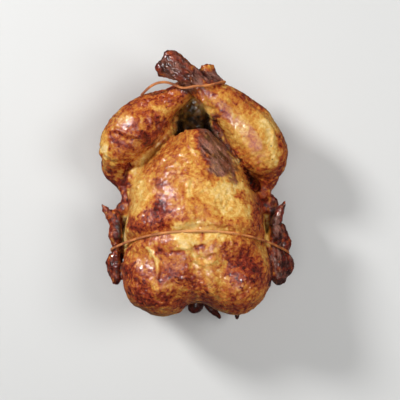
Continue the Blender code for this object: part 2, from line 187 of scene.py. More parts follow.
RIGHT_LEG = [
    (0.10, 26, [(245, 125), (262, 150)]),
    (0.52, 7, [(197, 90), (213, 95)]),
    (0.36, 8, [(208, 94), (228, 106)]),
    (0.60, 5, [(222, 110), (230, 119)]),
    (1.10, 3.0, [(214, 116), (217, 128)]),
    (0.52, 3, [(195, 93), (203, 103)]),
    (-0.05, 2.8, [(204, 103), (208, 112), (212, 120)]),
    (0.36, 11, [(236, 100), (254, 106)]),
    (0.58, 2.4, [(254, 104), (266, 112)]),
    (0.66, 3, [(228, 91), (250, 98)]),
    (0.40, 4, [(226, 93), (240, 92)]),
    (0.06, 6, [(262, 120), (271, 136), (273, 158)]),
    (0.46, 6.5, [(253, 136), (258, 146)]),
    (0.22, 5, [(224, 130), (238, 150), (250, 165)]),
    (0.66, 1.4, [(219, 128), (232, 147), (241, 158), (259, 173)]),
    (0.38, 5, [(243, 150), (252, 160), (262, 168)]),
    (0.60, 4, [(280, 136), (285, 150), (283, 163)]),
    (0.50, 8, [(262, 182), (278, 176)]),
    (0.74, 4, [(282, 165), (275, 178), (268, 186)]),
    (0.58, 6, [(260, 174), (271, 177)]),
    (0.74, 5, [(262, 182), (266, 190)]),
    # Painted highlight: a creamy, paler strip along the drumstick's outer side
    (-0.20, 3.2, [(263, 122), (270, 136), (271, 152)]),
    (-0.20, 2.2, [(272, 156), (277, 161)]),
    (0.48, 3, [(243, 165), (257, 178)]),
    # Painted shade: a near-black line in the crease between the leg and the breast, and the gap at the thigh
    (1.25, 1.2, [(221, 138), (231, 150), (241, 163), (249, 176)]),
    (1.35, 3.0, [(251, 179), (256, 188)]),
]

SHANKS = [
    (1.10, 8, [(165, 64), (176, 70)]),
    (0.84, 7, [(182, 78), (192, 84)]),
    (0.74, 3, [(158, 66), (159, 70)]),
    (0.66, 2.5, [(169, 54), (172, 58)]),
    (0.34, 1.5, [(176, 50), (180, 54)]),
    (0.34, 1.3, [(187, 61), (190, 64)]),
    (1.02, 5, [(206, 76), (216, 79)]),
    (0.50, 5, [(197, 92), (210, 94)]),
    (0.32, 3.5, [(202, 67), (211, 67)]),
    (0.76, 3, [(220, 83), (224, 79)]),
]

SIDES = [
    (-0.30, 3, [(125, 217), (123, 246)]),
    (-0.10, 2.4, [(266, 216), (268, 245)]),
    (0.80, 6, [(265, 200), (271, 210)]),
]

WINGS = [
    (0.55, 1.8, [(104, 206), (108, 212), (112, 219)]),
    (0.78, 1.2, [(108, 206), (113, 213)]),
    (0.05, 1.6, [(115, 212)]),
    (0.52, 1.8, [(112, 225), (113, 246)]),
    (0.74, 3.5, [(115, 256), (115, 280)]),
    (0.56, 1.4, [(118, 248), (119, 262)]),
    (1.05, 3, [(118, 222), (118, 240)]),
    (1.00, 3, [(107, 262), (109, 272)]),
    (1.40, 5, [(272, 218), (277, 240)]),
    (0.70, 1.3, [(285, 200), (281, 212), (277, 222)]),
    (0.84, 2.6, [(283, 224), (286, 244)]),
    (1.35, 1.6, [(279, 225), (281, 244)]),
    (0.60, 1.6, [(274, 248), (275, 262)]),
    (0.50, 1.6, [(273, 268), (274, 280)]),
    (1.30, 6, [(284, 255), (287, 272), (281, 284)]),
    (0.30, 1.6, [(281, 261)]),
    (0.70, 1.2, [(288, 252), (290, 268)]),
]

# The burnt skin: (strength, radius, spots)
BURNT_SPOTS = [
    (0.75, 7, [(203, 132), (206, 150)]),
    (1.0, 9, [(213, 137), (219, 162)]),
    (1.0, 8, [(223, 150), (228, 168)]),
    (0.9, 5, [(212, 168), (220, 172)]),
    (0.8, 4.5, [(229, 172), (234, 180)]),
    (0.4, 2.5, [(158, 184), (168, 182)]),
    (0.4, 4, [(190, 290), (195, 302)]),
    (0.5, 3, [(213, 114), (216, 124)]),
    (0.9, 8, [(166, 64), (174, 67)]),
    (0.6, 6, [(178, 74), (186, 78)]),
    (0.7, 4, [(206, 77), (214, 79)]),
]

# Skin that the char on the shanks has spared: (what is left of it, radius, spots)
SPARED = [
    (0.0, 3.5, [(202, 67), (211, 67)]),
    (0.25, 2.5, [(158, 66), (160, 72)]),
    (0.4, 2.5, [(167, 54), (174, 58)]),
    (0.0, 4, [(197, 93), (212, 95)]),
]

# Painted shade, nearly black, down the opening and in the gap at the right thigh: (strength, radius, spots)
DEEP_SHADE_SPOTS = [
    (0.9, 1.6, [(247, 171), (252, 180), (256, 187)]),
    (1.0, 7, [(189, 100), (193, 116)]),
    (1.0, 6, [(184, 118), (205, 124)]),
]

# The legs' golden inner walls beside it, which get no painted shade: (strength, radius, spots)
INNER_WALLS = [
    (0.2, 2.4, [(183, 101), (178, 111), (174, 121), (175, 131)]),
    (0.0, 3.0, [(204, 101), (209, 111), (213, 121), (219, 131)]),
]

# Wet shreds down there, on which the painted shade is lighter: (strength of the painted shade, radius, spots)
WET_SHREDS = [
    (0.62, 0.9, [(187, 108), (189, 103), (193, 100), (195, 103)]),
    (0.55, 1.4, [(196, 101), (199, 106)]),
    (0.60, 1.2, [(199, 110), (196, 114)]),
    (0.66, 0.9, [(186, 112), (194, 115), (203, 123)]),
    (0.70, 1.0, [(183, 118), (188, 121)]),
]

# Wet fat on the skin: (strength, radius, spots)
GREASE = [
    (1.0, 9, [(114, 116), (126, 128)]),
    (1.0, 7, [(138, 141), (150, 142), (160, 130)]),
    (0.8, 8, [(112, 146), (130, 152)]),
    (0.5, 7, [(155, 92), (182, 96)]),
    (0.6, 4, [(104, 206), (113, 216), (115, 276)]),
    (1.0, 5, [(284, 202), (277, 222), (284, 262), (283, 282)]),
    (1.0, 9, [(200, 92), (218, 110), (232, 126)]),
    (1.0, 7, [(160, 60), (184, 76)]),
    (0.8, 10, [(150, 175), (168, 172), (158, 192)]),
    (0.0, 8, [(152, 202), (160, 210), (166, 222)]),
    (0.1, 5, [(136, 167), (150, 154), (166, 136)]),
    (0.9, 8, [(158, 140), (176, 134)]),
    (0.8, 9, [(206, 136), (226, 166)]),
    (0.9, 12, [(145, 265), (170, 270)]),
    (1.0, 12, [(225, 255), (250, 275)]),
]

# Folds in the skin: (height in millimetres, radius in pixels, spots)
FOLDS = [
    (1.4, 2.4, [(109, 131), (116, 129), (123, 133), (133, 134), (142, 138), (150, 144)]),
    (-0.8, 1.5, [(116, 134), (122, 138), (134, 140), (142, 144), (152, 147)]),
    (-1.5, 1.8, [(100, 147), (103, 157), (112, 162), (125, 162), (136, 158), (150, 148)]),
    (1.1, 1.6, [(127, 183), (131, 172), (137, 168), (145, 167)]),
    (-1.1, 1.2, [(130, 186), (134, 177), (140, 173)]),
    (1.3, 1.4, [(128, 190), (133, 186), (138, 188)]),
    (1.4, 1.5, [(120, 186), (123, 194), (127, 204)]),
    (-2.5, 1.2, [(219, 136), (230, 149), (240, 162), (249, 176), (257, 189)]),
    (-4.0, 3.2, [(252, 181), (256, 188)]),
    (1.0, 1.1, [(186, 131), (187, 139), (190, 147), (196, 154), (203, 160)]),
    (-0.8, 1.0, [(184, 132), (184, 140), (187, 149), (193, 156)]),
    (0.8, 1.1, [(170, 184), (177, 176), (184, 175), (192, 177)]),
    (0.8, 1.0, [(178, 189), (183, 181), (188, 179)]),
    (1.0, 1.1, [(189, 179), (188, 190), (190, 196)]),
    (-0.8, 1.1, [(191, 182), (191, 194)]),
    (0.8, 1.2, [(188, 206), (192, 214), (199, 218)]),
    (-0.6, 1.0, [(194, 204), (195, 212)]),
    (0.6, 1.2, [(196, 192), (206, 188)]),
    (0.6, 1.2, [(207, 222), (222, 226), (236, 224)]),
    (1.4, 1.8, [(149, 248), (155, 257), (158, 266), (157, 277)]),
    (-1.3, 1.4, [(160, 258), (162, 268), (160, 278)]),
    (1.3, 1.8, [(196, 261), (204, 265), (214, 261)]),
    (-1.1, 1.3, [(198, 257), (206, 260), (213, 256)]),
    (-1.0, 1.3, [(168, 254), (184, 251)]),
    (-1.0, 1.2, [(197, 247), (206, 245)]),
    (1.0, 1.4, [(176, 246), (186, 249), (192, 246)]),
    (-1.1, 1.2, [(191, 248), (193, 258)]),
    (0.8, 1.2, [(204, 240), (214, 238), (219, 233)]),
    (0.8, 1.6, [(153, 281), (158, 296)]),
    (-1.0, 1.6, [(200, 92), (210, 104), (215, 115), (220, 128)]),
    (1.1, 1.6, [(203, 100), (208, 111), (213, 120)]),
    (-1.1, 1.3, [(211, 109), (217, 108)]),
    (-1.0, 1.1, [(245, 102), (256, 106), (266, 113)]),
    (0.8, 1.6, [(264, 118), (272, 130), (275, 146)]),
    (-0.6, 1.2, [(269, 121), (277, 134), (279, 150)]),
    (0.8, 1.4, [(247, 160), (256, 168), (262, 175)]),
    (-1.3, 1.4, [(153, 93), (164, 92), (171, 95)]),
    (0.8, 1.6, [(166, 99), (178, 97), (184, 93)]),
    (-0.6, 1.2, [(162, 104), (174, 103)]),
    (0.8, 1.2, [(150, 112), (152, 124)]),
    (-0.6, 1.0, [(154, 111), (156, 124)]),
    (1.2, 1.1, [(187, 108), (189, 103), (193, 100), (195, 103)]),
    (1.2, 1.4, [(196, 101), (199, 106)]),
    (1.2, 1.1, [(186, 112), (194, 115), (203, 123)]),
    (1.4, 2.2, [(164, 52), (172, 52), (179, 57)]),
    (-1.0, 1.6, [(160, 60), (170, 60), (180, 63)]),
    (1.3, 2.0, [(159, 66), (163, 72)]),
]

# Linear colours of the skin from palest to darkest, at these values of browning
RAMP_FROM, RAMP_TO = -0.4, 1.4
RAMP = (
    (-0.35, (0.79, 0.57, 0.27)),
    (-0.08, (0.68, 0.43, 0.120)),
    (0.12, (0.58, 0.285, 0.052)),
    (0.34, (0.47, 0.160, 0.027)),
    (0.54, (0.35, 0.070, 0.015)),
    (0.74, (0.215, 0.025, 0.011)),
    (0.98, (0.100, 0.011, 0.006)),
    (1.35, (0.028, 0.007, 0.005)),
)
BURNT_DARK = (0.036, 0.012, 0.008, 1)
# The paler char is partly its own greyer colour and partly painted sheen
BURNT_PALE_AND_SHEEN = (0.38, 0.180, 0.130, 1)
BURNT_BROWN = (0.20, 0.055, 0.034, 1)
# Painted shade for the hollows and gaps: nearly black, and a little browner where it is paler
HOLLOW_SHADE_DARK = (0.004, 0.0025, 0.002, 1)
HOLLOW_SHADE_PALE = (0.026, 0.012, 0.005, 1)
PEPPER = (0.02, 0.012, 0.012, 1)

# Parts of the bird, in millimetres. A pair of limits says where a mask is 0 and where it is 1.
RIGHT_SHANK = [(-5, 87, 76), (-13, 94, 79), (-24, 100, 80)]
LEFT_SHANK = [(5, 88, 59), (13, 93, 60), (22, 90, 58)]
SHANK_RUN = np.subtract(RIGHT_SHANK[-1], RIGHT_SHANK[0])
SHANK_LIMITS = (16, 10)
HEEL_LIMITS = (14, 8)
NIPPED = [(-24, 83, 72), (-15, 81, 78), (-5, 79, 80)]
NIP_LIMITS = (11, 3)
NIP_HEIGHTS = (66, 70)
NIP_SIDE = (0.6, 0.8, 0)
NIP_DEPTH = 2.6

# The wings lie past WING_X on both sides, short of the thighs and below an edge that rises towards the tail
WING_RUN = (0, 1, 0.17)
WING_X, WING_SOFTNESS = 60.3, 1.2
WING_END_LIMITS = (0, -8)
WING_TOP_LIMITS = (2, -2)
WING_TOP_Y, WING_TOP, WING_RISE = -5, 67, 0.17
LOBE_BULGE = 2.2
LOBE_LIMITS = (-64, -78)

# The legs begin past slanted lines beside the breast. The painted shade in the hollow ends at a tilted
# height.
LEG_LIMITS = (10, 22)
LEG_SLANT = 0.9
BREAST_HALF = 52
SHREDS_LIMITS = (-97, -102)
SHREDS_HEIGHTS = (48, 38)
CAVITY_HEIGHTS = (58, 50)
CAVITY_TILT = 0.05

# Hollows as stretched balls: (centre, radii, softness of the edge)
CAVITY = ((-1.1, 36.8, 45), (21.5, 50, 21), 0.12)
MOUTH = ((-1.1, 72.8, 50), (18, 30, 20), 0.12)
NECK = ((0.9, -97.2, 33), (20, 16, 15), 0.2)

# Limits for how far the skin faces up, as the Z of its normal
TOP_LIMITS = (-0.4, 0.0)
EDGE_LIMITS = (0.75, 0.25)

# The skin's mesh, in millimetres. Towards the head, thin parts are smoothed less than the rest.
SKIN_VOXEL = 1.1
SMOOTHING_ROUNDS = 9
SMOOTHING = 0.5
THIN_SPARED = 0.85
THIN_BELOW_Y = 5
THIN_SIDES = 0.6
THIN_SIDE_LIMITS = (30, 60)

# Skin within STRING_RADIUS of a string is pushed out. It is looked for only near the string's own Y.
STRING_RADIUS = 1.3
STRING_REACH = 22
LEAST_AWAY = 0.01

# Smooth noise: (size across in millimetres, seed, height)
SHANK_FRAY = (9, 2.1, 5)
HEEL_FRAY = (7, 4.1, 4)
WING_FRAY = (8, 5.3, 2)
WING_END_FRAY, WING_TOP_FRAY = 3, 0.5
BROAD_SWELLS = ((15, 3.3, 1.0), (7, 5.9, 0.4))
FINE_SWELLS = (2.6, 2.2, 0.34)
INNER_SWELLS = (5, 7.7, 1.8)
STRAND_SWELLS = (6, 3.9, 0.18)
STROKE_FRAY = (3.0, 6.7, 0.9)
LOOSE_PATCHES = (28, 4.4)
LOOSE_LIMITS = (-0.15, 0.25)

# Sharp-crested noise: (size across in millimetres, seed, direction of its ridges, stretch along it)
CREST_SHARPNESS = 2.6
LOOSE_CRINKLE = (6.0, 1.3)
FINE_CRINKLE = (3.6, 6.1, (1, 0.4, 0), 1.2)
SHANK_STREAKS = (6.0, 4.7, SHANK_RUN, 3.0)
WING_STREAKS = (4.5, 4.7, WING_RUN, 4.0)

# Ridges of the rough skin: (height in millimetres, noise on the wings, noise on the shanks)
ROUGH_RIDGES = (
    (1.5, (5.0, 2.7, WING_RUN, 3.5), (5.5, 2.7, SHANK_RUN, 3.0)),
    (0.9, (3.2, 9.7, WING_RUN, 2.2), (3.2, 9.7, SHANK_RUN, 1.8)),
)
WING_ROUGHNESS = 0.7
LOOSE_HEIGHT = 0.55
FINE_HEIGHT, FINE_LOOSE_HEIGHT = 0.22, 0.28
TAUT_LEGS = 0.6

# Uneven shifts of the spots: (size across in millimetres, seeds for x and y, pixels)
FOLD_DRIFT = (9, (1.7, 8.7), 2.0)
STROKE_DRIFTS = ((11, (1.1, 2.9), 3.5), (4, (3.1, 4.9), 2.0))

# How strokes are laid: their opacity, how soft their edges are, and how much of the fray crisper ones have
OPACITY = 0.9
SOFT, SOFTER = 0.7, 0.8
FRAY_RADIUS = 6
CRISP, CRISPER = 0.5, 0.3

# Tones under and over the strokes: a tone alone, or (tone, how much of it covers the skin)
GROUND_TONE = 0.20
UNSEEN_TONE = 0.42
EDGE_TONE = 0.06
NECK_TONE = 1.0
SHANK_TONE = (0.92, 0.95)
WING_TONE = (0.92, 0.85)

# Large, middle, small and tiny blotches: (size across in millimetres, seed), and what each adds to a value
BLOTCHES = ((24, 5), (9, 6), (4.2, 7), (2.0, 8))
UNSEEN_BLOTCHES = (0.55, 0.25, 0, 0)
TONE_BLOTCHES = (0, 0.20, 0.24, 0.14)
WING_BLOTCHES = (0, 0, 0.5, 0.3)
ROUGHNESS_BLOTCHES = (0, 0, 0.12, 0)

# Blotches are deeper where the tone is, from a start and within limits, and fainter on the legs
DEPTH_START, DEPTH_LIMITS = 0.15, (0.2, 1.0)
EVEN_LEGS = 0.45

# Char in streaks on the shanks and the two wings, and how much painted shade lies on the neck and in the gaps
SHANK_CHAR, SHANK_STREAK_CHAR = 0.35, 0.6
RIGHT_WING_CHAR, LEFT_WING_CHAR = 0.9, 0.4
NECK_SHADE = 0.5
DEEP_SHADE_HEIGHTS = (60, 48)

# Roughness of the skin, and how much smoother browned skin, the legs and burnt skin are
ROUGHNESS, ROUGHNESS_LIMITS = 0.42, (0.14, 0.6)
BROWN_SMOOTHER, LEGS_SMOOTHER, BURNT_SMOOTHER = 0.14, 0.10, 0.06
GROUND_GREASE = 0.5

# Textures of the skin's material: (scale per metre, detail, roughness, distortion)
SKIN_NOISE = {
    "fine": (330.0, 4.0, 0.62, 0.8),
    "blotches": (150.0, 3.0, 0.6, 0.5),
    "flakes": (190.0, 4.0, 0.6, 0.5),
    "patches": (55.0, 2.0),
    "shine": (350.0,),
    "low relief": (240.0, 4.0, 0.55, 0.6),
    "wrinkles": (330.0, 3.0, 0.55, 0.8),
    "beads": (620.0, 1.0, 0.5, 0.6),
}

# How values are spread in the skin's material: (one value, another, what the one gives, what the other gives)
SKIN_SPREAD = {
    "mottle": (0.25, 0.75, -0.5, 0.5),
    "mottle by tone": (-0.2, 0.7, 0.48, 0.9),
    "blotches": (0.3, 0.7, -0.14, 0.14),
    "flecks": (0.56, 0.70, 0.0, 0.35),
    "flecks by tone": (0.45, 0.9, 0.0, 1.0),
    "ramp": (RAMP_FROM, RAMP_TO, 0.0, 1.0),
    "pale char and sheen": (0.40, 0.60, 0.0, 1.0),
    "char": (0.38, 0.62, 0.0, 1.0),
    "char's edge": (0.3, 0.7, -0.2, 0.2),
    "burnt": (0.15, 0.85, 0.0, 0.94),
    "hollow_shade": (0.45, 0.66, 0.0, 1.0),
    "speck": (0.085, 0.055, 0.0, 1.0),
    "shine": (0.3, 0.7, -0.10, 0.12),
    "wrinkles by char": (0.0, 0.8, 0.5, 3.5),
    "mirror by grease": (0.1, 1.0, 0.03, 0.36),
    "beads": (0.42, 0.54, 0.0, 1.0),
}

# Bumps of the skin's material: (height in metres, strength)
SKIN_BUMP = {
    "low relief": (0.0014, 0.6),
    "wrinkles": (0.0009, 0.8),
    "beads": (0.0006, 0.7),
}
SKIN_SHADER = {
    "Subsurface Weight": 0.10,
    "Subsurface Radius": (1.0, 0.35, 0.12),
    "Subsurface Scale": 0.0025,
    "Coat Roughness": 0.06,
    "Coat IOR": 1.7,
}
CHAR_BEARING, CHAR_STRETCH = -50, 2.6

# Pepper: cells per metre, and the share of them that has no speck
SPECK_SCALE = 130.0
SPECK_FREE = 0.72

# The strings: (name of the piece, node that it stands for, places round it, spread of each, steps between)
STRINGS = (
    ("body_twine", "body_string", 72, 0.06, 12),
    ("leg_twine", "leg_string", 60, 0.10, 6),
)
STRANDS = 3
STRAND_RADIUS = 0.64
STRAND_ORBIT = 0.52
STRAND_PITCH = 5.0
STRAND_SIDES = 8

# The strings' material, in the same terms as the skin's
STRING_GOLDEN = (0.60, 0.210, 0.050, 1)
STRING_STAINED = (0.24, 0.050, 0.014, 1)
STRING_PALE = (0.74, 0.42, 0.15, 1)
STRING_FIBRE = (0.76, 0.36, 0.12, 1)
STRING_NOISE = {
    "stain": (130.0, 3.0),
    "fibre": (1800.0, 4.0, 0.7),
}
STRING_SPREAD = {
    "stain": (0.36, 0.6, 0, 1),
    "pale by height": (0.092, 0.102, 0, 0.6),
    "fibre": (0.45, 0.7, 0, 0.4),
    "roughness": (0.3, 0.7, 0.42, 0.62),
}
STRING_BUMP = (0.0002, 0.8)

# Lights: (name, place, size, watts, whether it is mirrored, whether it lights matt surfaces), in metres
LIGHTS = (
    ("key", (-0.83, 0.58, 0.82), 0.30, 15, True, True),
    ("fill", (0.65, 0.10, 1.05), 0.60, 7.5, False, True),
    ("overhead", (0.02, -0.25, 1.55), 1.00, 7, False, True),
    ("sparkle", (-0.10, 0.30, 1.50), 0.12, 1.2, True, False),
    ("glint", (0.00, -0.46, 1.28), 0.20, 6, True, False),
    ("spark", (-0.67, -0.24, 1.16), 0.10, 1, True, False),
)
LIT_PLACE = (0, 0, 0.04)
FLOOR_HALF = 3.0
FLOOR_Z = -0.0003
FLOOR_TONE = (0.62, 0.62, 0.61, 1)
FLOOR_ROUGHNESS = 0.9
SKY_TONE = (0.95, 0.97, 1.0, 1)
SKY_STRENGTH = 0.06


def spots_of(places):
    """Where millimetre places are in the picture, in pixels."""
    metres = places * MM
    scale = (CAMERA_PLACE[2] - MIDDLE_Z) / PIXEL / (CAMERA_PLACE[2] - metres[:, 2])
    return np.stack(
        [
            PICTURE / 2 + (metres[:, 0] - CAMERA_PLACE[0]) * scale,
            PICTURE / 2 - (metres[:, 1] - CAMERA_PLACE[1]) * scale,
        ],
        axis=1,
    )


def smoothstep(low, high, value):
    """0 at low, 1 at high and a smooth rise between them."""
    part = np.clip((value - low) / (high - low), 0, 1)
    return part * part * (3 - 2 * part)


def swirl(places, size, seed, height=1.0):
    """Smooth noise of about -0.6 to 0.6 times height, with swells about size across."""
    return height * np.array([noise.noise(p) for p in (places / size + seed).tolist()])


def crinkle(places, size, seed, along=None, stretch=1.0):
    """Sharp-crested noise from 0 to 1, drawn out along a direction by stretch."""
    if along is not None:
        along = np.array(along, float) / np.linalg.norm(along)
        places = places - np.outer(places @ along, along) * (1 - 1 / stretch)
    return np.clip(1 - np.abs(swirl(places, size, seed)) * CREST_SHARPNESS, 0, 1)


def drift(places, size, seeds, pixels):
    """Uneven shifts in x and y, with a seed for each."""
    return pixels * np.stack([swirl(places, size, seed) for seed in seeds], axis=1)


def to_path(places, path):
    """Distance from each place to the nearest stretch of a path. Works in two and three dimensions."""
    path = np.array(path, float)
    nearest = np.full(len(places), np.inf)
    if len(path) == 1:
        return np.linalg.norm(places - path[0], axis=1)
    for start, end in zip(path, path[1:]):
        run = end - start
        share = np.clip((places - start) @ run / (run @ run), 0, 1)
        nearest = np.minimum(nearest, np.linalg.norm(places - start - share[:, None] * run, axis=1))
    return nearest


def towards(ground, tone, share):
    """The ground, moved towards a tone by a share from 0 to 1."""
    return ground + (tone - ground) * share


def arrays_of(mesh):
    """Places in millimetres, unit normals and edges of a mesh."""
    count = len(mesh.vertices)
    places, normals = np.empty(count * 3, np.float32), np.empty(count * 3, np.float32)
    edges = np.empty(len(mesh.edges) * 2, np.int32)
    mesh.vertices.foreach_get("co", places)
    mesh.vertices.foreach_get("normal", normals)
    mesh.edges.foreach_get("vertices", edges)
    return places.reshape(-1, 3) / MM, normals.reshape(-1, 3).astype(float), edges.reshape(-1, 2)


def set_places(mesh, places):
    mesh.vertices.foreach_set("co", (places * MM).astype(np.float32).ravel())
    mesh.update()


def relaxed(places, edges, rounds, share):
    """Moves each vertex towards the mean of its neighbours, by its own share, several times over."""
    count = len(places)
    near = np.concatenate([edges[:, 0], edges[:, 1]])
    far = np.concatenate([edges[:, 1], edges[:, 0]])
    neighbours = np.bincount(near, minlength=count)
    for _ in range(rounds):
        mean = np.stack([np.bincount(near, places[far, k], count) for k in range(3)], axis=1)
        places = places + share[:, None] * (mean / neighbours[:, None] - places)
    return places


def in_ellipsoid(places, centre, radii, edge):
    """1 inside a stretched ball, 0 outside it, and between the two at its edge."""
    reach = np.linalg.norm((places - centre) / radii, axis=1)
    return smoothstep(1 + edge, 1 - edge, reach)


def centreline(node, count, spread):
    """The middle of a closed string, found from its solid: places averaged by their bearing in X and Z."""
    places = arrays_of(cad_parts[node].data)[0]
    middle = places.mean(axis=0)
    bearing = np.arctan2(places[:, 2] - middle[2], places[:, 0] - middle[0])
    line = []
    for angle in np.linspace(-math.pi, math.pi, count, endpoint=False):
        off = (bearing - angle + math.pi) % (2 * math.pi) - math.pi
        weight = np.exp(-((off / spread) ** 2))
        line.append((places * weight[:, None]).sum(axis=0) / weight.sum())
    return np.array(line)


def skin_mesh():
    """A fine, even skin over the bird's solid."""
    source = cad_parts["roast_chicken"]
    skin = bpy.data.objects.new("bird_skin", source.data.copy())
    bpy.context.scene.collection.objects.link(skin)
    remesh = skin.modifiers.new("skin", "REMESH")
    remesh.mode = "VOXEL"
    remesh.voxel_size = SKIN_VOXEL * MM
    bpy.context.view_layer.update()
    graph = bpy.context.evaluated_depsgraph_get()
    fine = bpy.data.meshes.new_from_object(skin.evaluated_get(graph))
    skin.modifiers.clear()
    skin.data = fine
    return skin


def wing_mask(places):
    """1 on the wings: outside the breast, before the thighs and below the edge that the breast hides."""
    uneven = swirl(places, *WING_FRAY)
    aside = np.abs(places[:, 0]) - LOBE_BULGE * smoothstep(*LOBE_LIMITS, places[:, 1])
    top = WING_TOP + WING_RISE * (places[:, 1] - WING_TOP_Y)
    wings = smoothstep(WING_X - WING_SOFTNESS, WING_X + WING_SOFTNESS, aside + uneven)
    wings *= smoothstep(*WING_END_LIMITS, places[:, 1] + WING_END_FRAY * uneven)
    return wings * smoothstep(*WING_TOP_LIMITS, places[:, 2] - top + WING_TOP_FRAY * uneven)


def masks_of(places, normals):
    """Named masks from 0 to 1 over the skin, by place."""
    shank = smoothstep(*SHANK_LIMITS, to_path(places, RIGHT_SHANK) + swirl(places, *SHANK_FRAY))
    heel = smoothstep(*HEEL_LIMITS, to_path(places, LEFT_SHANK) + swirl(places, *HEEL_FRAY))
    nipped = smoothstep(*NIP_LIMITS, to_path(places, NIPPED)) * smoothstep(*NIP_HEIGHTS, places[:, 2])
    inside = np.maximum(in_ellipsoid(places, *CAVITY), in_ellipsoid(places, *MOUTH))
    inside *= smoothstep(*CAVITY_HEIGHTS, places[:, 2] + CAVITY_TILT * places[:, 1])
    shreds = smoothstep(*SHREDS_LIMITS, places[:, 1]) * smoothstep(*SHREDS_HEIGHTS, places[:, 2])
    past_breast = places[:, 1] - LEG_SLANT * (BREAST_HALF - np.abs(places[:, 0]))
    return {
        "shank": np.maximum(shank, heel),
        "nipped": nipped,
        "wings": wing_mask(places),
        "inside": inside,
        "neck": np.maximum(in_ellipsoid(places, *NECK), shreds),
        "legs": smoothstep(*LEG_LIMITS, past_breast),
        "top": smoothstep(*TOP_LIMITS, normals[:, 2]),
        "edge": smoothstep(*EDGE_LIMITS, normals[:, 2]),
    }


def smooth(mesh):
    """Takes the remesh's steps away, and less of it where the bird is thin."""
    places, _, edges = arrays_of(mesh)
    sides = THIN_SIDES * smoothstep(*THIN_SIDE_LIMITS, np.abs(places[:, 0]))
    thin = np.maximum(smoothstep(*SHREDS_LIMITS, places[:, 1]), sides)
    share = SMOOTHING * (1 - THIN_SPARED * thin * (places[:, 1] < THIN_BELOW_Y))
    set_places(mesh, relaxed(places, edges, SMOOTHING_ROUNDS, share))


def fold(mesh, mask):
    """The folds that the picture shows, on broad swells."""
    places, normals, _ = arrays_of(mesh)
    spots = spots_of(places) + drift(places, *FOLD_DRIFT)
    lift = np.zeros(len(places))
    for height, radius, path in FOLDS:
        lift += height * np.exp(-((to_path(spots, path) / radius) ** 2))
    lift *= mask["top"]
    lift += sum(swirl(places, *swell) for swell in BROAD_SWELLS)
    set_places(mesh, places + normals * lift[:, None])


def ridges(places, on_wings):
    """The rough skin's ridges, which run along the wings, and elsewhere along the crossing shank."""
    lift = np.zeros(len(places))
    for height, wing, shank in ROUGH_RIDGES:
        crest = np.where(on_wings, crinkle(places, *wing), crinkle(places, *shank))
        lift += height * (crest - 0.5)
    return lift


def wrinkle(mesh, mask):
    """Fine wrinkles, rough ridges on wings and shanks, swells inside and the nip at the leg string."""
    places, normals, _ = arrays_of(mesh)
    rough = mask["shank"] + WING_ROUGHNESS * mask["wings"]
    loose = smoothstep(*LOOSE_LIMITS, swirl(places, *LOOSE_PATCHES))
    loose *= (1 - rough) * (1 - TAUT_LEGS * mask["legs"])
    lift = LOOSE_HEIGHT * loose * crinkle(places, *LOOSE_CRINKLE)
    lift += (FINE_HEIGHT + FINE_LOOSE_HEIGHT * loose) * crinkle(places, *FINE_CRINKLE)
    lift += swirl(places, *FINE_SWELLS)
    lift += rough * ridges(places, mask["wings"] > mask["shank"])
    lift -= NIP_DEPTH * mask["nipped"] * np.clip(-(normals @ NIP_SIDE), 0, 1)
    lift += mask["inside"] * swirl(places, *INNER_SWELLS)
    set_places(mesh, places + normals * lift[:, None])


def add_relief(mesh, strings):
    """Folds, wrinkles and pits, as moves of the skin along its normals."""
    smooth(mesh)
    places, normals, _ = arrays_of(mesh)
    mask = masks_of(places, normals)
    fold(mesh, mask)
    wrinkle(mesh, mask)
    places = clear_of_strings(arrays_of(mesh)[0], strings)
    places[:, 2] = np.maximum(places[:, 2], 0)
    set_places(mesh, places)


def clear_of_strings(places, strings):
    """Pushes the skin out of the strings' way, so that they lie on it and never in it."""
    for line in strings:
        tree = KDTree(len(line))
        for i, place in enumerate(line):
            tree.insert(place, i)
        tree.balance()
        for i in np.flatnonzero(np.abs(places[:, 1] - line[:, 1].mean()) < STRING_REACH):
            centre, _, away = tree.find(places[i])
            if away < STRING_RADIUS:
                outward = (places[i] - centre) / max(away, LEAST_AWAY)
                places[i] = centre + Vector(outward * STRING_RADIUS)
    return places


def painted(ground, spots, frayed, strokes, soft=SOFT):
    """The ground with each stroke laid over it in turn, with frayed edges."""
    for tone, radius, path in strokes:
        away = to_path(spots, path) + min(radius, FRAY_RADIUS) * frayed
        cover = OPACITY * smoothstep(radius * (1 + soft), radius * (1 - soft), away)
        ground = towards(ground, tone, cover)
    return ground


def browned(spots, frayed, blotches, mask):
    """The tone of the skin: browning, with the strokes that are painted highlights and painted shade."""
    tone = np.full(len(spots), GROUND_TONE)
    for strokes in (BREAST, LOBES, LEFT_LEG, RIGHT_LEG, SIDES):
        tone = painted(tone, spots, frayed, strokes)
    shank_tone, cover = SHANK_TONE
    tone = towards(tone, shank_tone, cover * mask["shank"])
    tone = painted(tone, spots, frayed, SHANKS)
    tone = towards(tone, UNSEEN_TONE + blotches @ UNSEEN_BLOTCHES, 1 - mask["top"])
    tone += EDGE_TONE * mask["edge"]
    depth = np.clip(DEPTH_START + tone, *DEPTH_LIMITS) * (1 - EVEN_LEGS * mask["legs"])
    tone += depth * (blotches @ TONE_BLOTCHES)
    wing_tone, cover = WING_TONE
    tone = towards(tone, wing_tone, cover * mask["wings"])
    tone = towards(tone, painted(tone, spots, CRISP * frayed, WINGS), mask["wings"])
    tone = towards(tone, NECK_TONE, mask["neck"])
    return tone + (blotches @ WING_BLOTCHES) * mask["wings"]


